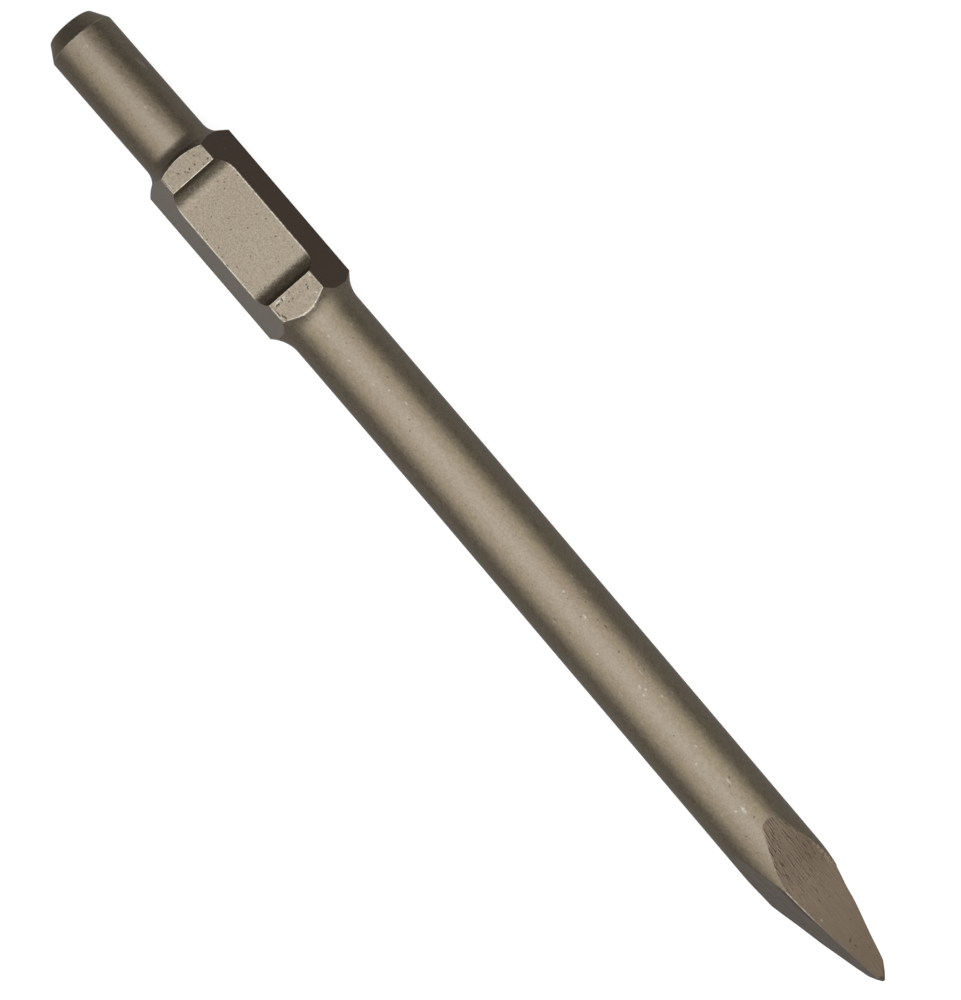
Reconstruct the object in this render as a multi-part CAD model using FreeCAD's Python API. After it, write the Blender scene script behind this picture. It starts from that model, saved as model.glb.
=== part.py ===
import FreeCAD, Part

import math
import os

from FreeCAD import Vector


# Bull point chisel for a breaker with a 30 mm hexagon chuck, in millimetres.
# One forged bar: a turned striking end, a hexagon collar with a retaining notch,
# a long round body and a four-sided ground point.
# The tool lies level on one flat of the hexagon with the notch facing up.
# X runs from the striking end to the point, and the origin is under the middle.

# Whole tool
overall_length = 410.0

# Striking end, from the struck face to the neck
shank_dia = 24.0
shank_length = 52.0
struck_face_dia = 17.0
struck_chamfer_length = 5.8
neck_radius = 7.0
neck_rise = 1.55

# Hexagon collar
hexagon_sides = 6
across_flats = 30.0
hexagon_edge_round = 0.6
collar_length = 60.5
shoulder_angle = 55.0
run_out_radius = 12.0

# Retaining notch across the top flat
notch_length = 47.0
notch_depth = 4.9
notch_corner_radius = 7.0

# Body
body_dia = 26.6

# Ground point
point_length = 67.0
point_faces = 4
point_turn = 24.9
face_bow_radius = 700.0
blunt_length = 5.4
blunt_start_width = 5.5
tip_flat_width = 0.8

# What is cut away is made this much larger than the bar
cutting_allowance = 2.0


# Stations along the tool, measured from the struck face, and radii about its axis
shank_radius = shank_dia / 2
body_radius = body_dia / 2
flat_height = across_flats / 2
corner_radius = flat_height / math.cos(math.pi / hexagon_sides)
stock_radius = corner_radius + cutting_allowance

neck_run = math.sqrt(2 * neck_radius * neck_rise - neck_rise ** 2)
shoulder_start = shank_length + neck_run
shoulder_root_radius = shank_radius + neck_rise
shoulder_slope = math.tan(math.radians(shoulder_angle))
collar_start = shoulder_start + (corner_radius - shoulder_root_radius) / shoulder_slope
collar_end = collar_start + collar_length
notch_middle = (collar_start + collar_end) / 2
point_start = overall_length - point_length
blunt_start = overall_length - blunt_length


def at(station, radius):
    """Point of a profile, held above the tool's axis."""
    return Vector(station - overall_length / 2, 0, flat_height + radius)


def line(start, end):
    return Part.makeLine(start, end)


def arc_about(centre, start, end):
    """The shorter arc from start to end about a centre."""
    middle = (start - centre) + (end - centre)
    middle.normalize()
    return Part.Arc(start, centre + middle * (start - centre).Length, end).toShape()


def arc_of_radius(start, end, radius):
    """Arc from start to end that bows upwards from its chord, away from the axis."""
    chord = end - start
    half = chord.Length / 2
    bow = radius - math.sqrt(radius ** 2 - half ** 2)
    outward = Vector(-chord.z, 0, chord.x)
    outward.normalize()
    return Part.Arc(start, (start + end) * 0.5 + outward * bow, end).toShape()


def run_out_reach(radius):
    """How far before the plain body the run-out curve stands at this radius."""
    rise = radius - body_radius
    return math.sqrt(2 * run_out_radius * rise - rise ** 2)


def turned_bar():
    """The bar as turned: striking end, neck, shoulder, collar stock and body."""
    shoulder_top = shoulder_start + (stock_radius - shoulder_root_radius) / shoulder_slope
    body_start = collar_end + run_out_reach(corner_radius)
    stock_end = body_start - run_out_reach(stock_radius)

    struck_centre = at(0, 0)
    struck_edge = at(0, struck_face_dia / 2)
    chamfer_end = at(struck_chamfer_length, shank_radius)
    neck_start = at(shank_length, shank_radius)
    neck_centre = at(shank_length, shank_radius + neck_radius)
    shoulder_root = at(shoulder_start, shoulder_root_radius)
    stock_front = at(shoulder_top, stock_radius)
    stock_back = at(stock_end, stock_radius)
    run_out_centre = at(body_start, body_radius + run_out_radius)
    body_front = at(body_start, body_radius)
    bar_edge = at(overall_length, body_radius)
    bar_centre = at(overall_length, 0)

    outline = Part.Wire([
        line(struck_centre, struck_edge),
        line(struck_edge, chamfer_end),
        line(chamfer_end, neck_start),
        arc_about(neck_centre, neck_start, shoulder_root),
        line(shoulder_root, stock_front),
        line(stock_front, stock_back),
        arc_about(run_out_centre, stock_back, body_front),
        line(body_front, bar_edge),
        line(bar_edge, bar_centre),
        line(bar_centre, struck_centre),
    ])
    return Part.Face(outline).revolve(struck_centre, Vector(1, 0, 0), 360)


def hexagon_bar():
    """Hexagon bar with softened edges, one flat down, longer than the tool."""
    corners = []
    for step in range(hexagon_sides + 1):
        turn = 2 * math.pi * step / hexagon_sides
        corners.append(Vector(
            -overall_length / 2 - cutting_allowance,
            corner_radius * math.cos(turn),
            flat_height + corner_radius * math.sin(turn),
        ))
    length = Vector(overall_length + 2 * cutting_allowance, 0, 0)
    bar = Part.Face(Part.makePolygon(corners)).extrude(length)
    long_edges = [edge for edge in bar.Edges if abs(edge.tangentAt(0).x) > 0.5]
    return bar.makeFillet(hexagon_edge_round, long_edges)


def notch_cutter():
    """Block that mills the notch: flat below, with a round corner at each end."""
    flat_bottom = flat_height - notch_depth
    top = flat_height + cutting_allowance
    corner_run = math.sqrt(2 * notch_corner_radius * notch_depth - notch_depth ** 2)
    front = notch_middle - notch_length / 2
    back = notch_middle + notch_length / 2
    corner_height = flat_bottom + notch_corner_radius

    outline = Part.Wire([
        line(at(front, top), at(front, flat_height)),
        arc_about(
            at(front + corner_run, corner_height),
            at(front, flat_height),
            at(front + corner_run, flat_bottom),
        ),
        line(at(front + corner_run, flat_bottom), at(back - corner_run, flat_bottom)),
        arc_about(
            at(back - corner_run, corner_height),
            at(back - corner_run, flat_bottom),
            at(back, flat_height),
        ),
        line(at(back, flat_height), at(back, top)),
        line(at(back, top), at(front, top)),
    ])
    outline.translate(Vector(0, -stock_radius, 0))
    return Part.Face(outline).extrude(Vector(0, 2 * stock_radius, 0))


def face_cutter(turn):
    """Block that grinds one bowed face of the point and its steeper blunt end."""
    clear = body_radius + cutting_allowance
    face_front = at(point_start, body_radius)
    blunt_front = at(blunt_start, blunt_start_width / 2)
    tip_edge = at(overall_length, tip_flat_width / 2)
    beyond = overall_length + cutting_allowance

    outline = Part.Wire([
        arc_of_radius(face_front, blunt_front, face_bow_radius),
        line(blunt_front, tip_edge),
        line(tip_edge, at(beyond, tip_flat_width / 2)),
        line(at(beyond, tip_flat_width / 2), at(beyond, clear)),
        line(at(beyond, clear), at(point_start, clear)),
        line(at(point_start, clear), face_front),
    ])
    outline.translate(Vector(0, -clear, 0))
    cutter = Part.Face(outline).extrude(Vector(0, 2 * clear, 0))
    cutter.rotate(Vector(0, 0, flat_height), Vector(1, 0, 0), turn)
    return cutter


def bull_point_chisel():
    tool = turned_bar().common(hexagon_bar())
    tool = tool.cut(notch_cutter())
    for face in range(point_faces):
        tool = tool.cut(face_cutter(360 * face / point_faces - point_turn))
    return tool.removeSplitter()


def write(name, shape):
    """One solid to one file, after a look at its soundness."""
    solid = shape.Solids[0]
    box = solid.optimalBoundingBox()
    print(
        name,
        "solids", len(shape.Solids),
        "valid", shape.isValid(),
        "volume cm3", round(solid.Volume / 1000, 2),
        "x", round(box.XMin, 2), round(box.XMax, 2),
        "y", round(box.YMin, 2), round(box.YMax, 2),
        "z", round(box.ZMin, 2), round(box.ZMax, 2),
    )
    solid.exportStep(os.path.join("parts", name + ".step"))


os.makedirs("parts", exist_ok=True)
write("bull_point_chisel", bull_point_chisel())
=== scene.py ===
import math
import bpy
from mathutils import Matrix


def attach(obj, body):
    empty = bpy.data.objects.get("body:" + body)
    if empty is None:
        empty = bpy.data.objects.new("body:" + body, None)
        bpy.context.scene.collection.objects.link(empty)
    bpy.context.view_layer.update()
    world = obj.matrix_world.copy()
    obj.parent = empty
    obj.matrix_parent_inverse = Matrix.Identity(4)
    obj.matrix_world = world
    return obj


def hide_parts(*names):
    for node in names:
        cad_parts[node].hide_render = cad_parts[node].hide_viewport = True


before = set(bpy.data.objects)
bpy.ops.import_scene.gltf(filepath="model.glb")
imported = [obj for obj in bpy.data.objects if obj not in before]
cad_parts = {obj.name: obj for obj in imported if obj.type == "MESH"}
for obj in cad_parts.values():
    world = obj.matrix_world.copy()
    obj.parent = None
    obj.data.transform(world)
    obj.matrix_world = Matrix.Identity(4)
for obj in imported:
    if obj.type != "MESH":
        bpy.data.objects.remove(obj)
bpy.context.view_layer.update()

from types import SimpleNamespace

import bmesh
import bpy
from mathutils import Matrix, Vector, noise

# Millimetres, with stations measured along the tool from its struck face
MM = 0.001
MIDDLE = 205.0
AXIS_HEIGHT = 15.0
TOOL = "forged_chisel"

# Striking end, neck and shoulder
SHANK_RADIUS = 12.0
STRUCK_FACE_RADIUS = 8.5
STRUCK_CHAMFER = 5.8
NECK_START = 52.0
NECK_RADIUS = 7.0
SHOULDER_ROOT = (56.60, 13.55)
SHOULDER_SLOPE = math.tan(math.radians(55))

# Hexagon collar and its notch
FLAT_HEIGHT = 15.0
STOCK_RADIUS = 18.2
BODY_START = 128.5
RUN_OUT_RADIUS = 12.0
NOTCH = (65.38, 112.60)
NOTCH_DEPTH = 4.9
NOTCH_CORNER = 7.0
LAND_END = 119.6
FLAT_EDGE = 8.66
CORNER_EASE = 0.296
RIM_WIDTH = 0.17
RIM_DROP = 0.06

# Body and point
BODY_RADIUS = 13.3
POINT_ZONE = 340.0
TIP = 409.97
TIP_SET_OFF = -0.15
COLUMN_TURN = 69.0
SEGMENTS = 240

# Ground faces of the point: the way each one faces, in degrees from the top towards +Y,
# and how far it stands from the axis at stations after the point's start
POINT_START = 343.0
FACES = [
    (24.9, [(-0.2, 13.3), (0.3, 13.14), (2.8, 12.83), (7.4, 12.1), (12.5, 11.15), (16.8, 10.27), (21, 9.5),
            (25, 8.98), (29, 8.52), (33, 8.0), (38, 7.23), (43, 6.4), (50.7, 4.98), (58.5, 3.4),
            (63.9, 2.27), (70, 0.9)]),
    (114.9, [(11.0, 13.3), (15.0, 12.95), (19.8, 12.2), (24.7, 10.95), (29.6, 9.5), (34.5, 8.45),
             (39.4, 7.6), (44.3, 6.6), (49.2, 5.5), (54.2, 4.5), (59, 3.65), (63.9, 2.6), (70, 1.1)]),
    (209.6, [(7.0, 13.3), (14.9, 11.9), (19.8, 10.5), (24.7, 8.9), (29.6, 7.4), (34.5, 6.35), (39.4, 5.65),
             (44.3, 4.95), (49.2, 4.2), (54.2, 3.45), (59, 2.75), (63.9, 1.9), (70, 0.9)]),
    (299.6, [(1.0, 13.3), (5, 12.95), (10, 12.33), (14.9, 11.60), (19.8, 10.79), (25, 10.10), (29.4, 9.51),
             (33, 8.90), (36.9, 8.16), (45.4, 6.59), (50, 5.58), (56, 4.28), (63, 2.69), (70, 1.07)]),
]

# Gouges at the start of the upper ground face: station, distance from the face's middle line towards +Y,
# half length, half width and depth
GOUGES = [
    (345.0, 3.2, 1.6, 0.40, 0.14), (345.2, -0.2, 1.5, 0.35, 0.12), (345.3, -2.0, 1.3, 0.35, 0.12),
    (351.5, 5.4, 2.2, 0.40, 0.12), (354.4, 3.2, 1.4, 0.35, 0.10), (358.0, 2.7, 1.6, 0.30, 0.07),
    (351.9, 2.0, 1.8, 0.35, 0.10), (351.1, -3.0, 1.6, 0.35, 0.11), (351.8, -4.4, 1.7, 0.40, 0.12),
    (356.7, -5.9, 1.4, 0.40, 0.12), (357.4, -4.8, 1.5, 0.35, 0.10), (358.8, 8.6, 1.2, 0.40, 0.10),
    (361.1, 8.0, 2.2, 0.35, 0.09), (363.3, 9.9, 0.8, 0.35, 0.10), (361.1, -0.9, 1.2, 0.30, 0.06),
    (348.0, 4.5, 1.3, 0.40, 0.12), (347.6, 1.1, 1.4, 0.35, 0.10), (348.6, -1.5, 1.2, 0.35, 0.10),
]

# Steep facets that blunt the tip: the way each faces, its start and the two ends of its line
BLUNTS = [
    (78.0, [(404.6, 4.1), (410.0, 0.36)]),
    (50.0, [(405.6, 3.9), (410.0, 0.55)]),
    (258.0, [(405.3, 3.8), (408.4, 1.3), (410.0, 0.5)]),
    (330.0, [(408.0, 1.75), (410.0, 0.55)]),
    (165.0, [(405.6, 3.2), (410.0, 0.45)]),
    (212.0, [(405.6, 3.2), (410.0, 0.5)]),
]

# Dents along the lower edge of the land behind the notch: station, y, half length, half width and depth
LAND_DENTS = [
    (113.8, -4.15, 0.8, 0.45, 0.10), (114.3, -6.3, 0.45, 1.3, 0.14), (116.0, -8.0, 2.0, 0.45, 0.10),
    (118.0, -7.5, 0.9, 0.6, 0.16), (118.9, -7.2, 0.8, 0.55, 0.12),
]

# The forged bar isn't quite straight: how far each millimetre leans towards +Y, and the body's set-off
BODY_SET_OFF = 0.33
SET_OFF_RUN = (121, 130)
BODY_LEAN = -0.0060
BODY_LEAN_START = 195.0
SHANK_LEAN = -0.0085
SHANK_LEAN_END = 57.0


def place(station, radius):
    """A spot above the tool's axis, in metres."""
    return Vector(((station - MIDDLE) * MM, 0, (AXIS_HEIGHT + radius) * MM))


def edit(piece):
    """Opens a piece in edit mode with nothing selected."""
    bpy.ops.object.select_all(action="DESELECT")
    piece.select_set(True)
    bpy.context.view_layer.objects.active = piece
    bpy.ops.object.mode_set(mode="EDIT")
    bpy.ops.mesh.select_mode(type="VERT")
    bpy.ops.mesh.select_all(action="DESELECT")


def leave():
    bpy.ops.object.mode_set(mode="OBJECT")


def choose(piece, verts=None, edges=None, faces=None):
    """Selects in edit mode what a test on vertices, edges or faces picks out."""
    mesh = bmesh.from_edit_mesh(piece.data)
    mesh.select_mode = {"VERT"} if verts else ({"EDGE"} if edges else {"FACE"})
    for item in list(mesh.verts) + list(mesh.edges) + list(mesh.faces):
        item.select = False
    for item in (mesh.verts if verts else (mesh.edges if edges else mesh.faces)):
        if (verts or edges or faces)(item):
            item.select_set(True)
    mesh.select_flush_mode()
    bmesh.update_edit_mesh(piece.data)


def station_of(point):
    return point.x / MM + MIDDLE


def radius_of(point):
    return math.hypot(point.y / MM, point.z / MM - AXIS_HEIGHT)


def eased(low, high, value):
    """Rises smoothly from 0 at low to 1 at high."""
    part = min(1.0, max(0.0, (value - low) / (high - low)))
    return part * part * (3 - 2 * part)


def arc(centre, start, end, steps):
    """Points after start along the arc to end about a centre, in (station, radius)."""
    first = math.atan2(start[1] - centre[1], start[0] - centre[0])
    last = math.atan2(end[1] - centre[1], end[0] - centre[0])
    if last - first > math.pi:
        last -= 2 * math.pi
    if first - last > math.pi:
        last += 2 * math.pi
    reach = math.hypot(start[0] - centre[0], start[1] - centre[1])
    turns = [first + (last - first) * step / steps for step in range(1, steps + 1)]
    return [(centre[0] + reach * math.cos(turn), centre[1] + reach * math.sin(turn)) for turn in turns]


def softened(before, corner, after, reach, steps=3):
    """A corner of the profile eased by a curve that starts and ends a short reach from it."""

    def towards(other):
        length = math.hypot(other[0] - corner[0], other[1] - corner[1])
        return (corner[0] + (other[0] - corner[0]) * reach / length,
                corner[1] + (other[1] - corner[1]) * reach / length)

    start = towards(before)
    end = towards(after)
    points = []
    for step in range(steps + 1):
        part = step / steps
        points.append(tuple(
            (1 - part) ** 2 * start[axis] + 2 * part * (1 - part) * corner[axis] + part ** 2 * end[axis]
            for axis in (0, 1)))
    return points


def bar_profile():
    """Half of the bar's section along its length, as (station, radius)."""
    rim = (0.0, STRUCK_FACE_RADIUS)
    chamfer_end = (STRUCK_CHAMFER, SHANK_RADIUS)
    neck_start = (NECK_START, SHANK_RADIUS)
    stock_front = (SHOULDER_ROOT[0] + (STOCK_RADIUS - SHOULDER_ROOT[1]) / SHOULDER_SLOPE, STOCK_RADIUS)
    run_out_centre = (BODY_START, BODY_RADIUS + RUN_OUT_RADIUS)
    rise = STOCK_RADIUS - BODY_RADIUS
    stock_back = (BODY_START - math.sqrt(2 * RUN_OUT_RADIUS * rise - rise ** 2), STOCK_RADIUS)
    points = [(0.0, 0.0), (0.0, 5.0)]
    points += softened((0, 0), rim, chamfer_end, 0.55)
    points += softened(rim, chamfer_end, neck_start, 0.35)
    points += [neck_start]
    points += arc((NECK_START, SHANK_RADIUS + NECK_RADIUS), neck_start, SHOULDER_ROOT, 8)
    points += [stock_front, stock_back]
    points += arc(run_out_centre, stock_back, (BODY_START, BODY_RADIUS), 22)
    points += [(POINT_ZONE, BODY_RADIUS), (TIP, BODY_RADIUS), (TIP, 0.0)]
    return points


def turned_bar():
    """The bar as it leaves the lathe: one profile, drawn vertex by vertex and spun about the axis."""
    bpy.ops.object.select_all(action="DESELECT")
    profile = bar_profile()
    bpy.ops.mesh.primitive_plane_add(size=MM, location=place(*profile[0]))
    bar = bpy.context.active_object
    bar.name = TOOL
    bar.data.name = TOOL
    bpy.ops.object.transform_apply(location=True, rotation=True, scale=True)
    bpy.ops.object.mode_set(mode="EDIT")
    bpy.ops.mesh.select_mode(type="VERT")
    bpy.ops.mesh.select_all(action="SELECT")
    bpy.ops.mesh.merge(type="CENTER")
    for last, point in zip(profile, profile[1:]):
        run = place(*point) - place(*last)
        bpy.ops.mesh.extrude_region_move(TRANSFORM_OT_translate={"value": run})
    bpy.ops.mesh.select_all(action="SELECT")
    bpy.ops.mesh.spin(steps=SEGMENTS, angle=2 * math.pi, center=place(MIDDLE, 0), axis=(1, 0, 0))
    bpy.ops.mesh.select_all(action="SELECT")
    bpy.ops.mesh.remove_doubles(threshold=1e-6)
    bpy.ops.mesh.normals_make_consistent(inside=False)
    leave()
    return bar


def mill_hexagon(bar):
    """Six flats cut on the collar, then the long corners rounded."""
    edit(bar)
    for side in range(6):
        turn = math.pi * side / 3
        normal = Vector((0, math.sin(turn), math.cos(turn)))
        bpy.ops.mesh.select_all(action="SELECT")
        bpy.ops.mesh.bisect(
            plane_co=place(MIDDLE, 0) + normal * FLAT_HEIGHT * MM, plane_no=normal,
            use_fill=True, clear_outer=True, threshold=1e-7)
    choose(bar, edges=lambda edge: edge.calc_length() > 40 * MM
           and 60 < station_of((edge.verts[0].co + edge.verts[1].co) / 2) < 120)
    bpy.ops.mesh.bevel(offset=CORNER_EASE * MM, segments=3, affect="EDGES", clamp_overlap=False)
    bpy.ops.mesh.select_all(action="SELECT")
    bpy.ops.mesh.remove_doubles(threshold=2e-6)
    leave()


def mill_notch(bar):
    """The notch across the top flat, cut with a block whose lower corners are round."""
    corner_run = math.sqrt(2 * NOTCH_CORNER * NOTCH_DEPTH - NOTCH_DEPTH ** 2)
    front = NOTCH[0] + corner_run - NOTCH_CORNER
    back = NOTCH[1] - corner_run + NOTCH_CORNER
    bottom = FLAT_HEIGHT - NOTCH_DEPTH
    height = 14.0
    bpy.ops.object.select_all(action="DESELECT")
    bpy.ops.mesh.primitive_cube_add(size=1, location=place((front + back) / 2, bottom + height / 2))
    cutter = bpy.context.active_object
    cutter.scale = ((back - front) * MM, 44 * MM, height * MM)
    bpy.ops.object.transform_apply(location=True, rotation=True, scale=True)
    edit(cutter)
    low = (AXIS_HEIGHT + bottom + 0.1) * MM
    choose(cutter, edges=lambda edge: all(v.co.z < low for v in edge.verts)
           and abs(edge.verts[0].co.x - edge.verts[1].co.x) < 1e-6)
    bpy.ops.mesh.bevel(offset=NOTCH_CORNER * MM, segments=16, affect="EDGES")
    leave()
    cut = bar.modifiers.new("notch", "BOOLEAN")
    cut.operation = "DIFFERENCE"
    cut.solver = "EXACT"
    cut.object = cutter
    bpy.ops.object.select_all(action="DESELECT")
    bar.select_set(True)
    bpy.context.view_layer.objects.active = bar
    bpy.ops.object.modifier_apply(modifier=cut.name)
    bpy.data.objects.remove(cutter)


def is_flat(face):
    """Whether a face is one of the collar's flats or a land beside the notch."""
    if len(face.verts) < 30 or face.calc_area() < 100 * MM * MM:
        return False
    return abs(face.normal.x) < 0.001


def ease_flats(bar):
    """A narrow worn bevel round every flat of the collar."""
    edit(bar)
    choose(bar, faces=is_flat)
    bpy.ops.mesh.inset(thickness=RIM_WIDTH * MM, depth=0, use_individual=True, use_even_offset=True)
    leave()
    mesh = bmesh.new()
    mesh.from_mesh(bar.data)
    mesh.faces.ensure_lookup_table()
    for face in [face for face in mesh.faces if is_flat(face)]:
        normal = face.normal.copy()
        inner = set(face.verts)
        outer = set()
        for edge in face.edges:
            for ring in edge.link_faces:
                if ring != face:
                    outer |= set(ring.verts) - inner
        for vert in outer:
            vert.co -= normal * RIM_DROP * MM
    mesh.to_mesh(bar.data)
    mesh.free()


def batter_land(bar):
    """The burr and dents along the lower edge of the land behind the notch."""
    mesh = bmesh.new()
    mesh.from_mesh(bar.data)

    def near(face):
        middle = face.calc_center_median()
        return (middle.z / MM > AXIS_HEIGHT + 14.6 and station_of(middle) > NOTCH[1]
                and abs(middle.y) < 9 * MM) or is_left_flat(face)

    def is_left_flat(face):
        middle = station_of(face.calc_center_median())
        return face.normal.y < -0.8 and face.normal.z > 0.45 and 60 < middle < 120

    def cut(normal, through):
        faces = [face for face in mesh.faces if near(face)]
        parts = set(faces)
        for face in faces:
            parts |= set(face.edges) | set(face.verts)
        bmesh.ops.bisect_plane(mesh, geom=list(parts), plane_co=through, plane_no=normal, dist=1e-7)

    for step in range(18):
        cut(Vector((1, 0, 0)), place(NOTCH[1] + 0.5 + step * 0.38, 0))
    for step in range(14):
        cut(Vector((0, 1, 0)), Vector((0, (-8.35 + step * 0.33) * MM, 0)))
    for vert in mesh.verts:
        station = station_of(vert.co)
        y = vert.co.y / MM
        z = vert.co.z / MM - AXIS_HEIGHT
        if not NOTCH[1] + 0.3 < station < LAND_END:
            continue
        if z > 14.99 and -8.3 < y < -3.5:
            drop = 0.0
            for middle, line, long, wide, deep in LAND_DENTS:
                away = math.hypot((station - middle) / long, (y - line) / wide)
                if away < 1:
                    drop += deep * (1 - away * away) ** 2
            vert.co.z -= drop * MM
        elif math.hypot(y + FLAT_EDGE, z - FLAT_HEIGHT) < 0.42:
            lump = 0.5 + 0.5 * noise.noise(Vector((station * 1.9, 3.0, 0.0)))
            vert.co.y -= 0.24 * lump * eased(113.0, 114.0, station) * eased(119.5, 118.0, station) * MM
    mesh.to_mesh(bar.data)
    mesh.free()


def rule_rows(bar, start, end, cuts):
    """Evenly spaced rows of vertices between two stations of the round bar."""
    edit(bar)

    def runs_between(edge):
        low, high = sorted(station_of(v.co) for v in edge.verts)
        return abs(low - start) < 0.05 and abs(high - end) < 0.05

    choose(bar, edges=runs_between)
    bpy.ops.mesh.subdivide_edgering(number_cuts=cuts, interpolation="LINEAR")
    leave()


def between(stops, value):
    """A value read off a smooth curve through a list of (position, value) stops."""
    if value <= stops[0][0]:
        return stops[0][1]
    if value >= stops[-1][0]:
        return stops[-1][1]
    slopes = [(b[1] - a[1]) / (b[0] - a[0]) for a, b in zip(stops, stops[1:])]
    for this, ((low, first), (high, second)) in enumerate(zip(stops, stops[1:])):
        if value <= high:
            run = high - low
            part = (value - low) / run
            lead = slopes[this] if this == 0 else (slopes[this - 1] + slopes[this]) / 2
            trail = slopes[this] if this == len(slopes) - 1 else (slopes[this] + slopes[this + 1]) / 2
            return ((2 * part ** 3 - 3 * part ** 2 + 1) * first
                    + (part ** 3 - 2 * part ** 2 + part) * run * lead
                    + (3 * part ** 2 - 2 * part ** 3) * second + (part ** 3 - part ** 2) * run * trail)


def point_row(station):
    """The cutting lines of one section, as (direction, distance), and how far its centre is set off."""
    centre = TIP_SET_OFF * eased(398, 410, station)
    lines = []
    for turn, stops in FACES:
        turn = math.radians(turn)
        distance = between(stops, station - POINT_START)
        lines.append((turn, distance - centre * math.sin(turn)))
    for turn, stops in BLUNTS:
        if station > stops[0][0]:
            lines.append((math.radians(turn), between(stops, station)))
    return lines, centre


def strokes(face, aside, station):
    """How deep the grinder's strokes cut into a face at a distance from its middle line."""
    fresh = 1 - eased(346, 372, station)
    fine = noise.noise(Vector((station * 0.11, aside * 2.3, 9.0 * face)))
    coarse = noise.noise(Vector((station * 0.10, aside * 0.9, 9.0 * face + 4.0)))
    depth = 0.012 * fine + (0.015 + 0.03 * fresh) * max(0.0, coarse)
    if face == 0:
        rolled = eased(346, 361, station) * (1 - eased(361, 384, station))
        depth += 0.85 * eased(0, 12, aside) * rolled
        for middle, line, long, wide, deep in GOUGES:
            away = math.hypot((station - middle) / long, (aside - line) / wide)
            if away < 1:
                depth += deep * (1 - away * away) ** 2
    return depth


def grind_point(bar):
    """Moves the rows beyond the point's start in to the four ground faces and the blunt tip."""
    mesh = bmesh.new()
    mesh.from_mesh(bar.data)
    rows = {}
    for vert in mesh.verts:
        station = station_of(vert.co)
        if station > POINT_ZONE + 0.1 and radius_of(vert.co) > 1:
            rows.setdefault(round(station, 3), []).append(vert)
    for station, verts in rows.items():
        lines, centre = point_row(station)
        faces = lines[:4]
        shifts = []
        for this, (turn, near) in enumerate(faces):
            after, far = faces[(this + 1) % 4]
            gap = (after - turn) % (2 * math.pi)
            ridge = turn + math.atan2(far - near * math.cos(gap), near * math.sin(gap))
            column = math.radians(COLUMN_TURN + 90 * this)
            blend = eased(346, 362, station)
            shifts.append((column, (ridge - column) * blend))
        for vert in verts:
            turn = math.atan2(vert.co.y, vert.co.z - AXIS_HEIGHT * MM) % (2 * math.pi)
            turn = turn + shift_at(shifts, turn)
            radius = BODY_RADIUS
            for face, (facing, distance) in enumerate(lines):
                lean = math.cos(turn - facing)
                if lean > 0.05 and distance / lean < BODY_RADIUS + 0.5:
                    if face < 4:
                        distance -= strokes(face, distance / lean * math.sin(turn - facing), station)
                    radius = min(radius, max(distance, 0.02) / lean)
            vert.co.y = (centre + radius * math.sin(turn)) * MM
            vert.co.z = (AXIS_HEIGHT + radius * math.cos(turn)) * MM
    for vert in mesh.verts:
        if station_of(vert.co) > TIP - 0.01 and radius_of(vert.co) < 0.01:
            vert.co.y += TIP_SET_OFF * MM
    mesh.normal_update()
    mesh.to_mesh(bar.data)
    mesh.free()


def shift_at(shifts, turn):
    """How far round a column of vertices moves, between the columns that follow the ridges."""
    full = 2 * math.pi
    for this in range(4):
        column, shift = shifts[this]
        next_column, next_shift = shifts[(this + 1) % 4]
        gap = (next_column - column) % full
        part = ((turn - column) % full) / gap
        if part <= 1.0:
            return shift + (next_shift - shift) * part
    return 0.0


def crook(station):
    """How far the bar's middle line lies from the collar's, towards +Y."""
    body = BODY_SET_OFF * eased(*SET_OFF_RUN, station) + BODY_LEAN * max(0.0, station - BODY_LEAN_START)
    return body + SHANK_LEAN * max(0.0, SHANK_LEAN_END - station)


def let_bar_lean(bar):
    """Gives the straight bar its slight crook."""
    for vert in bar.data.vertices:
        vert.co.y += crook(station_of(vert.co)) * MM
    bar.data.update()


class Value:
    """A value in a finish. Sums and products of it add Math nodes."""

    def __init__(self, finish, socket):
        self.finish = finish
        self.socket = socket

    def maths(self, operation, *values):
        return self.finish.node("ShaderNodeMath", {"operation": operation}, dict(enumerate(values)))

    def __add__(self, other):
        return self.maths("ADD", self, other)

    def __radd__(self, other):
        return self.maths("ADD", other, self)

    def __sub__(self, other):
        return self.maths("SUBTRACT", self, other)

    def __rsub__(self, other):
        return self.maths("SUBTRACT", other, self)

    def __mul__(self, other):
        return self.maths("MULTIPLY", self, other)

    def __rmul__(self, other):
        return self.maths("MULTIPLY", other, self)

    def __pow__(self, other):
        return self.maths("POWER", self, other)

    def ramp(self, low, high, first=0.0, last=1.0):
        """Runs smoothly from the first value to the last between low and high."""
        return self.finish.node(
            "ShaderNodeMapRange", {"interpolation_type": "SMOOTHSTEP", "clamp": True},
            {"Value": self, "From Min": low, "From Max": high, "To Min": first, "To Max": last})

    def highest(self, other):
        return self.maths("MAXIMUM", self, other)

    def lowest(self, other):
        return self.maths("MINIMUM", self, other)

    def size(self):
        return self.maths("ABSOLUTE", self)


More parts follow.
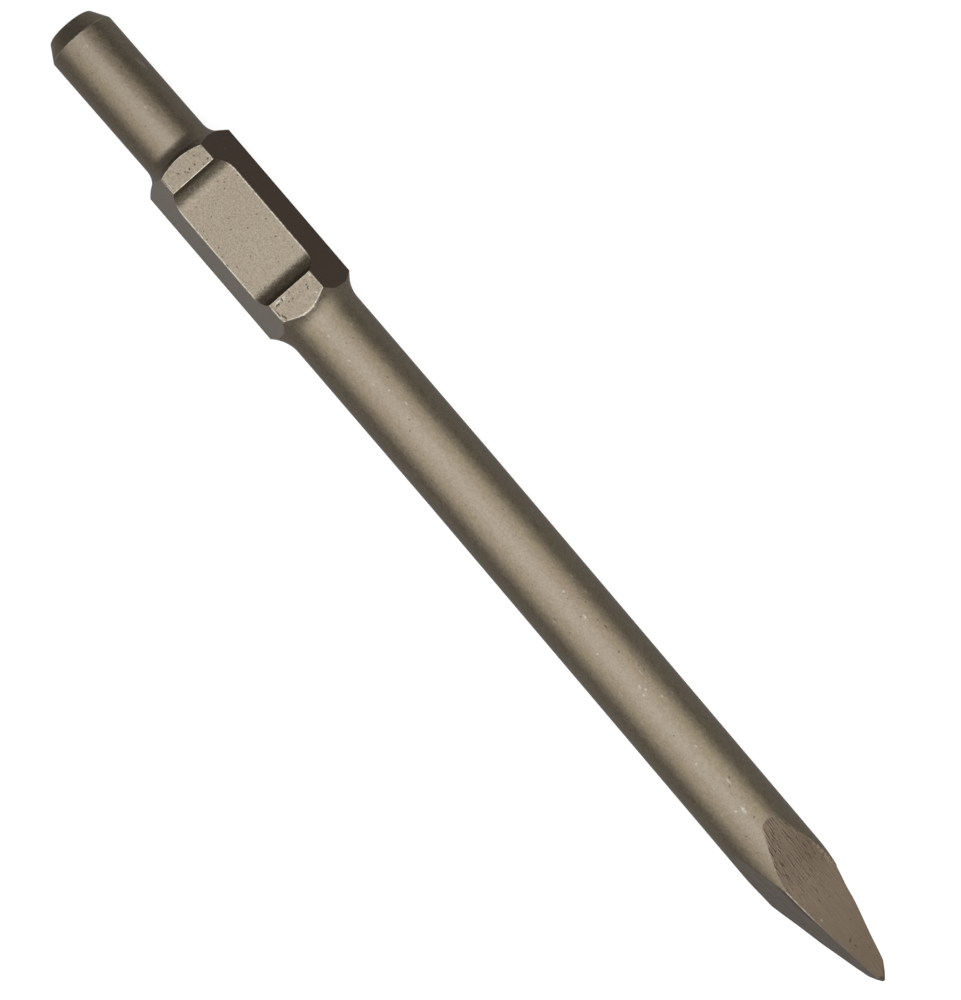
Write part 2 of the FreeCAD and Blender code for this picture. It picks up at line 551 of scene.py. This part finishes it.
class Finish:
    """A material and the means to add nodes to it."""

    def __init__(self, name):
        self.material = bpy.data.materials.new(name)
        self.material.use_nodes = True
        self.tree = self.material.node_tree
        self.tree.nodes.clear()

    def node(self, kind, settings=None, values=None, output=0):
        made = self.tree.nodes.new(kind)
        for name, setting in (settings or {}).items():
            setattr(made, name, setting)
        for name, value in (values or {}).items():
            if isinstance(value, Value):
                self.tree.links.new(value.socket, made.inputs[name])
            elif value is not None:
                made.inputs[name].default_value = value
        return Value(self, made.outputs[output])

    def part(self, value, output):
        """Another output of the node that a value comes from."""
        return Value(self, value.socket.node.outputs[output])

    def blend(self, amount, first, second, kind="MIX"):
        """A colour between two others."""
        return self.node(
            "ShaderNodeMix", {"data_type": "RGBA", "blend_type": kind},
            {0: amount, 6: first, 7: second}, 2)

    def noise(self, where, scale, detail=2.0, roughness=0.5):
        return self.node(
            "ShaderNodeTexNoise", None,
            {"Vector": where, "Scale": scale, "Detail": detail, "Roughness": roughness})

    def vector_noise(self, where, scale):
        """A small shift to and fro in all three directions."""
        values = {"Vector": where, "Scale": scale, "Detail": 2.0}
        cloud = self.node("ShaderNodeTexNoise", None, values, "Color")
        return self.stretched(self.shifted(cloud, (-0.5, -0.5, -0.5)), (0.6, 0.6, 0.6))

    def lanes(self, along, lane):
        """Positions in a ground face, along the tool and across the grinder's strokes."""
        return self.node("ShaderNodeCombineXYZ", None, {0: along, 1: lane, 2: 0.0})

    def stretched(self, where, scale):
        return self.node("ShaderNodeVectorMath", {"operation": "MULTIPLY"}, {0: where, 1: scale})

    def shifted(self, where, move):
        return self.node("ShaderNodeVectorMath", {"operation": "ADD"}, {0: where, 1: move})

    def specks(self, where, scale, share, reach):
        """Small round specks, one in each cell whose chance value is above the share."""
        cells = self.node("ShaderNodeTexVoronoi", None, {"Vector": where, "Scale": scale}, "Distance")
        chance = self.node("ShaderNodeSeparateColor", None, {0: self.part(cells, "Color")})
        return cells.ramp(reach, reach * 0.5) * chance.ramp(share, share + 0.02)

    def mark(self, where, station, across, up, long, wide):
        """1 in the middle of a small oval mark, fading to 0 at its edge."""
        away = self.shifted(where, (MIDDLE - station, -across, -up))
        away = self.stretched(away, (1 / long, 1 / wide, 0.55 / wide))
        return self.node("ShaderNodeVectorMath", {"operation": "LENGTH"}, {0: away}, 1).ramp(1.1, 0.2)

    def grey(self, value):
        return self.node("ShaderNodeCombineColor", None, {0: value, 1: value, 2: value})

    def output(self, shader):
        out = self.tree.nodes.new("ShaderNodeOutputMaterial")
        self.tree.links.new(shader.socket, out.inputs["Surface"])
        return self.material


# Marks on the skin of the bar, and painted shade at the land's dents: station, y and z about the axis, half
# length and half width
DARK_MARKS = [
    (139.7, -10.5, 8.2, 0.6, 0.4), (154.7, 5.2, 12.3, 0.5, 0.35), (169.7, 1.7, 13.2, 0.4, 0.3),
    (172.6, -0.5, 13.3, 0.5, 0.3), (261.6, 6.4, 11.7, 0.7, 0.4), (258.4, 5.8, 12.0, 0.5, 0.3),
    (270.6, 4.3, 12.6, 0.6, 0.35), (254.0, 2.4, 13.1, 0.5, 0.3), (324.5, 5.0, 12.3, 0.6, 0.35),
    (339.5, 2.8, 13.0, 0.6, 0.35), (62.7, 2.9, 15, 0.45, 0.3), (62.6, 0.6, 15, 0.35, 0.35),
    (63.1, -0.4, 15, 0.4, 0.3), (61.4, -3.0, 15, 0.4, 0.4), (64.0, 7.4, 15, 0.4, 0.5),
    (391.6, -0.5, 5.8, 0.7, 0.55), (394.2, -0.3, 5.1, 1.2, 0.28), (374.7, 0.6, 8.4, 1.0, 0.28),
    # Painted shade in the dents along the land's lower edge behind the notch, stations 113.8 to 119.8, and a
    # painted shadow under its burr at station 119.3, y -8.75
    (113.8, -4.15, 15, 0.75, 0.28), (114.3, -6.3, 15, 0.22, 1.15), (116.3, -8.05, 15, 2.0, 0.22),
    (117.9, -7.35, 15, 0.7, 0.38), (118.8, -7.10, 15, 0.7, 0.34), (119.8, -7.55, 15, 0.6, 0.4),
    (115.4, 5.0, 15, 0.17, 0.6), (116.2, 4.85, 15, 0.17, 0.6), (116.7, 4.5, 15, 0.17, 0.5),
    (119.3, -8.75, 14.9, 1.2, 0.3), (80.6, 11.4, 10.3, 1.2, 0.4), (97.0, 11.4, 10.3, 0.7, 0.35),
    (103.5, -11.4, 10.3, 0.8, 0.35), (361.0, -1.6, 11.5, 1.4, 0.25), (365.9, 3.6, 8.2, 1.3, 0.25),
    (362.5, 7.2, 7.1, 1.0, 0.25), (371.6, 2.2, 8.1, 1.2, 0.25),
]
LIGHT_MARKS = [
    (134.1, 7.4, 11.1, 1.2, 0.3), (140.5, 6.1, 11.8, 0.8, 0.35), (152.3, 7.6, 10.9, 1.6, 0.3),
    (153.5, 0.3, 13.3, 0.5, 0.4), (158.4, 3.0, 13.0, 0.6, 0.4), (159.6, 7.3, 11.1, 0.6, 0.4),
    (165.2, 4.3, 12.6, 0.8, 0.35), (142.7, -0.7, 13.3, 0.5, 0.4), (132.4, -0.5, 13.3, 0.5, 0.4),
    (244.1, 3.4, 12.9, 0.7, 0.5), (255.0, 3.3, 12.9, 1.4, 0.5), (242.2, 8.4, 10.3, 0.7, 0.4),
    (249.1, 8.6, 10.2, 0.6, 0.4), (250.0, -5.5, 12.1, 1.4, 0.25), (266.7, -1.5, 13.2, 0.6, 0.5),
    (279.7, 5.3, 12.2, 3.1, 0.25), (283.5, 2.0, 13.2, 0.9, 0.5), (285.4, 3.0, 13.0, 0.7, 0.6),
    (286.3, 1.4, 13.2, 0.6, 0.5), (290.6, 5.4, 12.2, 0.8, 0.5), (292.1, 8.6, 10.2, 0.6, 0.4),
    (307.7, 8.9, 9.9, 0.7, 0.4), (309.9, 3.4, 12.9, 0.7, 0.4), (314.4, -0.3, 13.3, 0.6, 0.5),
    (317.3, 7.8, 10.8, 0.6, 0.4), (325.1, 4.0, 12.7, 1.8, 0.5), (335.6, 1.6, 13.2, 1.9, 0.8),
    (334.3, -0.6, 13.3, 0.7, 0.6), (332.5, -5.0, 12.3, 0.6, 0.4), (31.9, 4.4, 11.2, 0.5, 0.4),
    (37.7, 2.4, 11.8, 0.5, 0.4), (25.4, 10.35, 5.5, 3.2, 0.4), (24.6, 9.8, 6.5, 2.4, 0.3),
    (10.6, 1.0, 12.0, 0.9, 0.3), (379.9, -2.9, 9.2, 0.9, 0.4),
    (113.9, -3.45, 15, 1.0, 0.65), (113.6, -5.75, 15, 0.6, 1.6), (115.3, -8.6, 15, 2.6, 0.36),
    (118.2, -8.2, 15, 0.65, 0.6), (119.7, -8.35, 15, 0.6, 0.6), (113.6, 8.0, 15, 0.6, 0.6),
    (115.8, 5.0, 15, 0.2, 0.6), (116.5, 4.7, 15, 0.2, 0.6), (119.3, 6.0, 15, 0.45, 0.45),
    (65.0, 8.3, 15, 0.5, 0.4), (62.5, -8.7, 14.9, 2.6, 0.25), (62.5, -7.9, 15, 2.6, 0.2),
    (400.9, -3.3, 3.6, 0.6, 0.4),
]


def bearings(steel):
    """Where a spot lies: its station, its place across and above the leaning axis, and its radius."""
    coords = steel.node("ShaderNodeTexCoord", None, None, "Object")
    where = steel.node("ShaderNodeMapping", None, {
        "Vector": coords, "Location": (0, 0, -AXIS_HEIGHT), "Scale": (1 / MM, 1 / MM, 1 / MM)})
    axes = steel.node("ShaderNodeSeparateXYZ", None, {0: where})
    up = steel.part(axes, 2)
    station = axes + MIDDLE
    lean = station.ramp(*SET_OFF_RUN) * BODY_SET_OFF + (station - BODY_LEAN_START).highest(0.0) * BODY_LEAN
    lean = lean + (SHANK_LEAN_END - station).highest(0.0) * SHANK_LEAN
    across = steel.part(axes, 1) - lean
    radius = (across * across + up * up) ** 0.5
    return SimpleNamespace(where=where, station=station, across=across, up=up, radius=radius)


def blasted_grain(steel, at):
    """The shot-blasted grain from fine to broad, and ragged places for small marks."""
    return SimpleNamespace(
        blast=steel.noise(at.where, 1.5, 4, 0.65),
        fine=steel.noise(at.where, 3.0, 2, 0.6),
        mottle=steel.noise(at.where, 0.62, 3, 0.6),
        cloud=steel.noise(at.where, 0.06, 2, 0.5),
        ragged=steel.shifted(at.where, steel.vector_noise(at.where, 1.3)))


def pits_and_nicks(steel, at, grain):
    """Dark pits and bright nicks: small ones all over, and those of the two lists, whose dark ones along the
    land's lower edge behind the notch are painted shade and a painted shadow under its burr.
    """
    dark = steel.specks(grain.ragged, 0.45, 0.72, 0.16) * 0.7
    sparks = steel.specks(steel.shifted(at.where, (3.7, 1.9, 5.3)), 0.30, 0.82, 0.11)
    for spot in DARK_MARKS:
        dark = dark.highest(steel.mark(grain.ragged, *spot))
    light = sparks * 0.35
    for spot in LIGHT_MARKS:
        light = light.highest(steel.mark(grain.ragged, *spot))
    return dark, light * grain.fine.ramp(0.30, 0.56)


def ground_faces(steel, at, grain):
    """The ground faces: strokes along the tool, fresh scores with painted shade in them and a painted
    highlight along their lower edges, a painted highlight on the ridge between the two upper ones and a band
    of painted shade below it.
    """
    ground = at.station.ramp(POINT_START - 0.5, POINT_START + 0.5)
    ground = ground * (BODY_RADIUS - at.radius).ramp(0.015, 0.05)
    tilt = math.radians(FACES[0][0])
    towards = at.across * math.sin(tilt) + at.up * math.cos(tilt)
    aside = at.across * math.cos(tilt) - at.up * math.sin(tilt)
    facing = (towards.size() - (aside * 0.8).highest(aside * -1.0)).ramp(-0.25, -0.20)
    brown = ground * facing
    lane = towards + (aside - towards) * facing
    strokes_run = steel.noise(steel.lanes(at.station * 0.06, lane * 2.2), 1.0, 3, 0.6)
    fresh = ground * at.station.ramp(352, 380, 1.0, 0.10) * grain.mottle.ramp(0.38, 0.62, 0.45, 1.0)
    score_run = steel.noise(steel.lanes(at.station * 0.22, lane * 2.3), 1.0, 1, 0.5)
    # Painted highlight: the scores' pattern shifted across, lightening their lower edges
    highlight_run = steel.noise(steel.lanes(at.station * 0.22, lane * 2.3 + 0.75), 1.0, 1, 0.5)
    off_ridge = towards.size() - aside.size()
    # Painted highlight: a bright line along the ridge of the two upper faces
    ridge = ground * (off_ridge + 0.12).size().ramp(0.28, 0.10) * at.station.ramp(376, 384, 1.0, 0.15)
    # Painted shade: a band on the face just below the ridge of the two upper faces
    ridge_shade = ground * (off_ridge + 1.25).size().ramp(0.85, 0.45) * aside.ramp(0, -1)
    return SimpleNamespace(
        ground=ground,
        brown=brown,
        strokes=strokes_run,
        scores=score_run.ramp(0.585, 0.65) * fresh,
        score_highlight=highlight_run.ramp(0.585, 0.65) * fresh,
        ridge=ridge * aside.ramp(0, -1) * towards.ramp(0, 1),
        ridge_shade=ridge_shade * at.station.ramp(359, 361) * at.station.ramp(382, 374))


def collar_flats(at):
    """The collar's flats, by how far a spot lies from the axis squarely to each pair of them, with the upper
    flat on the +Y side picked out for painted shade.
    """
    slant = math.sin(math.radians(60))
    level = at.up.size()
    right = at.across * slant + at.up * 0.5
    left = at.up * 0.5 - at.across * slant
    collar = at.station.ramp(56.9, 57.1) * at.station.ramp(122.1, 121.9)
    highest = level.highest(right.size()).highest(left.size())
    lowest = level.lowest(right.size()).lowest(left.size())
    # scale picks out the upper flat on the +Y side, whose dark colour is painted shade
    scale = collar * right.ramp(14.80, 14.92)
    smooth = collar * left.ramp(14.80, 14.92)
    return SimpleNamespace(
        collar=collar,
        side=right.highest(left),
        second=level + right.size() + left.size() - highest - lowest,
        scale=scale,
        smooth=smooth,
        upward=collar * at.up.ramp(9.0, 9.6) * (1.0 - scale) * (1.0 - smooth))


def notch_floor(at):
    """The notch: how far a spot lies from its middle, whether it is inside, and the floor's height there."""
    half = (NOTCH[1] - NOTCH[0]) / 2
    flat_run = half - math.sqrt(2 * NOTCH_CORNER * NOTCH_DEPTH - NOTCH_DEPTH ** 2)
    run = (at.station - (NOTCH[0] + half)).size()
    rise = (run - flat_run).highest(0.0).lowest(NOTCH_CORNER - 0.05)
    return SimpleNamespace(
        half=half,
        run=run,
        floor=FLAT_HEIGHT - NOTCH_DEPTH + NOTCH_CORNER - (NOTCH_CORNER ** 2 - rise * rise) ** 0.5,
        inside=run.ramp(half + 0.1, half - 0.1) * at.up.ramp(9.0, 9.6))


def rubbed_and_lit_rims(at, flats, notch):
    """Edges rubbed bright round the top flat and the notch, on the shoulder cone and the run-out, and a
    painted highlight on the upper part of the struck chamfer.
    """
    rims = flats.collar * flats.second.ramp(14.62, 14.86) * at.up.ramp(12, 13)
    rims = rims.highest((notch.run - notch.half).size().ramp(0.40, 0.15) * at.up.ramp(14.6, 14.8))
    rims = rims.highest(notch.inside * (at.up - notch.floor).size().ramp(0.35, 0.12)
                        * flats.side.ramp(14.5, 14.75) * at.up.ramp(11.4, 10.6))
    cone = (at.station - SHOULDER_ROOT[0]) * SHOULDER_SLOPE + SHOULDER_ROOT[1] - at.radius
    before_body = BODY_START - at.station
    run_out = (RUN_OUT_RADIUS ** 2 - before_body * before_body) ** 0.5
    run_out = BODY_RADIUS + RUN_OUT_RADIUS - run_out - at.radius
    on_top = at.up.ramp(14.80, 14.90)
    rims = rims.highest(on_top * cone.size().ramp(0.45, 0.12) * at.station.ramp(61, 60.5))
    rims = rims.highest(on_top * run_out.size().ramp(0.40, 0.12) * at.station.ramp(117, 117.5))
    return rims.highest((at.station - STRUCK_CHAMFER - 0.1).size().ramp(0.32, 0.10) * at.up.ramp(2, 8))


def forged_steel():
    """Grey-brown tool steel, shot-blasted all over, with ground faces on the point."""
    steel = Finish("forged_steel_finish")
    at = bearings(steel)
    grain = blasted_grain(steel, at)
    dark, light = pits_and_nicks(steel, at, grain)
    point = ground_faces(steel, at, grain)
    flats = collar_flats(at)
    notch = notch_floor(at)
    dark = dark.highest(steel.specks(grain.ragged, 0.62, 0.80, 0.20) * notch.inside * 0.8)
    # Painted shade: the collar's two side corners at the axis's height, darkened along the outline
    corners = flats.collar * flats.second.ramp(14.55, 14.85) * at.up.size().ramp(1.6, 0.8)
    wear = steel.noise(at.where, 0.9, 4, 0.7).ramp(0.35, 0.58, 0.25, 1.0)
    # Rims rubbed bright, with painted highlight on the struck chamfer's upper part and along the point's
    # upper ridge
    worn = rubbed_and_lit_rims(at, flats, notch).highest(point.ridge) * wear

    colour = steel.blend(grain.mottle.ramp(0.3, 0.7), (0.180, 0.152, 0.111, 1), (0.212, 0.179, 0.133, 1))
    colour = steel.blend(grain.cloud.ramp(0.35, 0.7) * 0.5, colour, (0.190, 0.155, 0.118, 1))
    colour = steel.blend(point.ground, colour, (0.235, 0.205, 0.182, 1))
    colour = steel.blend(point.brown, colour, (0.182, 0.142, 0.104, 1))
    # Painted shade: the upper flat on the +Y side painted dark brown
    colour = steel.blend(flats.scale, colour, (0.096, 0.069, 0.053, 1))
    colour = steel.blend(flats.smooth, colour, (0.280, 0.252, 0.212, 1))
    coarse = 1.0 - point.ground * 0.6 - flats.scale * 0.5 - flats.smooth * 0.6 + flats.upward * 0.9
    speckle = (grain.blast - 0.5) * coarse
    colour = steel.blend(1.0, colour, steel.grey(speckle.ramp(-0.25, 0.25, 0.84, 1.16)), "MULTIPLY")
    streaks = point.strokes.ramp(0.38, 0.62) * (0.45 - point.brown * 0.20)
    colour = steel.blend(point.ground * streaks, colour, (0.11, 0.088, 0.068, 1))
    # Painted highlight along the lower edges of the fresh scores
    colour = steel.blend(point.score_highlight * 0.50, colour, (0.30, 0.26, 0.21, 1))
    # Dark pits and marks, with painted shade in the land's dents and under its burr
    colour = steel.blend(dark * 0.65, colour, (0.045, 0.036, 0.028, 1))
    # Painted shade: in the fresh scores, in a band below the ridge of the two upper ground faces, and along
    # the collar's side corners
    painted_shade = (point.scores * 0.75).highest(point.ridge_shade * 0.6).highest(corners * 0.6)
    colour = steel.blend(painted_shade, colour, (0.050, 0.040, 0.032, 1))
    colour = steel.blend(light * (0.55 + flats.collar * 0.35), colour, (0.42, 0.39, 0.34, 1))
    # Rubbed bright edges and painted highlight
    colour = steel.blend(worn * 0.8, colour, (0.40, 0.37, 0.31, 1))

    roughness = 0.37 + (grain.mottle - 0.5) * 0.14 + (grain.blast - 0.5) * 0.12
    roughness = roughness + point.ground * 0.14 - worn * 0.05 - flats.smooth * 0.05
    height = grain.blast * 0.8 + grain.fine * 0.25 + grain.mottle * 1.5 - dark * 1.8 + light * 0.6
    height = height * (1.0 + flats.upward * 0.5) * (1.0 - point.ground * 0.75)
    height = height * (1.0 - flats.smooth * 0.4) * (1.0 - flats.scale * 0.4)
    height = height + point.strokes * point.ground * 2.6 - point.scores * 4.0
    bump = steel.node("ShaderNodeBump", None, {"Strength": 1.0, "Distance": 0.035 * MM, "Height": height})
    return steel.output(steel.node("ShaderNodeBsdfPrincipled", None, {
        "Base Color": colour, "Metallic": 1.0, "Roughness": roughness, "Normal": bump,
        "Specular Tint": (0.85, 0.84, 0.83, 1)}))


def paper():
    """White floor that stays white to the camera and in the steel, and keeps the shadow."""
    white = Finish("floor_paper")
    path = white.node("ShaderNodeLightPath", None, None, "Is Camera Ray")
    seen = path.highest(white.part(path, "Is Glossy Ray") * 0.2)
    seen = seen.highest(white.part(path, "Is Transmission Ray"))
    matt = white.node("ShaderNodeBsdfDiffuse", None, {"Color": (0.25, 0.25, 0.25, 1)})
    glow = white.node("ShaderNodeEmission", None, {"Color": (0.83, 0.83, 0.83, 1), "Strength": seen})
    return white.output(white.node("ShaderNodeAddShader", None, {0: matt, 1: glow}))


def floor():
    """A plain sheet a hair below the tool."""
    bpy.ops.object.select_all(action="DESELECT")
    bpy.ops.mesh.primitive_plane_add(size=30, location=(0, 0, -0.0004))
    sheet = bpy.context.active_object
    sheet.name = "floor"
    bpy.ops.object.transform_apply(location=True, rotation=True, scale=True)
    sheet.data.materials.append(paper())


def lamp(name, turn, reach, run, width, strength, colour=(1.0, 1.0, 1.0)):
    """A long soft lamp that faces the axis from its turn, over a run of positions along the tool."""
    light = bpy.data.lights.new(name, "AREA")
    light.shape = "RECTANGLE"
    light.color = colour
    light.size = run[1] - run[0]
    light.size_y = width
    light.energy = math.pi * strength * light.size * light.size_y
    holder = bpy.data.objects.new(name, light)
    bpy.context.scene.collection.objects.link(holder)
    turn = math.radians(turn)
    middle = (run[0] + run[1]) / 2
    holder.location = (middle, reach * math.sin(turn), AXIS_HEIGHT * MM + reach * math.cos(turn))
    holder.rotation_euler = (-turn, 0, 0)


def sky():
    """Dim surroundings, lighter near the floor and beyond the point."""
    world = bpy.data.worlds.new("studio")
    bpy.context.scene.world = world
    world.use_nodes = True
    tree = world.node_tree
    tree.nodes.clear()
    coords = tree.nodes.new("ShaderNodeTexCoord")
    axes = tree.nodes.new("ShaderNodeSeparateXYZ")
    tree.links.new(coords.outputs["Generated"], axes.inputs[0])

    def step(axis, low, high, first, last):
        run = tree.nodes.new("ShaderNodeMapRange")
        run.interpolation_type = "SMOOTHSTEP"
        for name, value in {"From Min": low, "From Max": high, "To Min": first, "To Max": last}.items():
            run.inputs[name].default_value = value
        tree.links.new(axes.outputs[axis], run.inputs["Value"])
        return run.outputs[0]

    total = tree.nodes.new("ShaderNodeMath")
    tree.links.new(step("Z", 0.15, 1.0, 0.30, 0.16), total.inputs[0])
    tree.links.new(step("X", 0.40, 0.80, 0.0, 0.40), total.inputs[1])
    glow = tree.nodes.new("ShaderNodeBackground")
    out = tree.nodes.new("ShaderNodeOutputWorld")
    tree.links.new(total.outputs[0], glow.inputs["Strength"])
    tree.links.new(glow.outputs[0], out.inputs["Surface"])


def camera():
    """Almost straight above the tool, which lies aslant in the picture."""
    lens = bpy.data.cameras.new("camera")
    lens.sensor_width = 36
    lens.lens = 95.54
    lens.clip_start = 0.01
    lens.clip_end = 50
    holder = bpy.data.objects.new("camera", lens)
    bpy.context.scene.collection.objects.link(holder)
    turned = (Matrix.Rotation(math.radians(-6.116), 4, "X")
              @ Matrix.Rotation(math.radians(-0.254), 4, "Y")
              @ Matrix.Rotation(math.radians(49.402), 4, "Z"))
    pivot = Matrix.Translation((0, 0, AXIS_HEIGHT * MM))
    back = Matrix.Translation((0.28 * MM, 0.99 * MM, 868.6 * MM))
    holder.matrix_world = pivot @ turned @ back
    bpy.context.scene.camera = holder


tool = turned_bar()
mill_hexagon(tool)
mill_notch(tool)
ease_flats(tool)
batter_land(tool)
rule_rows(tool, BODY_START, POINT_ZONE, 40)
rule_rows(tool, POINT_ZONE, TIP, 150)
grind_point(tool)
let_bar_lean(tool)

bpy.ops.object.select_all(action="DESELECT")
tool.select_set(True)
bpy.context.view_layer.objects.active = tool
bpy.ops.object.shade_smooth_by_angle(angle=math.radians(38))
evening = tool.modifiers.new("evening", "WEIGHTED_NORMAL")
evening.keep_sharp = True
bpy.ops.object.modifier_apply(modifier=evening.name)
tool.data.materials.clear()
tool.data.materials.append(forged_steel())
print("triangles", sum(len(face.vertices) - 2 for face in tool.data.polygons))

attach(tool, "root")
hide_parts("bull_point_chisel")

floor()
lamp("lamp_over", 0, 0.75, (-0.50, 0.50), 0.66, 2.4, (0.98, 1.0, 1.05))
lamp("lamp_near", -39, 0.82, (-0.50, 0.45), 0.42, 1.75, (1.0, 0.97, 0.90))
lamp("lamp_far", 39, 0.82, (-0.34, 0.85), 0.42, 1.8, (1.0, 0.97, 0.90))
lamp("side_near", -65, 0.92, (-0.50, 0.50), 0.40, 0.60, (1.0, 0.97, 0.90))
lamp("side_far", 65, 0.92, (-0.10, 0.80), 0.40, 0.70, (1.0, 0.97, 0.90))
sky()
camera()

scene = bpy.context.scene
scene.view_settings.view_transform = "Standard"
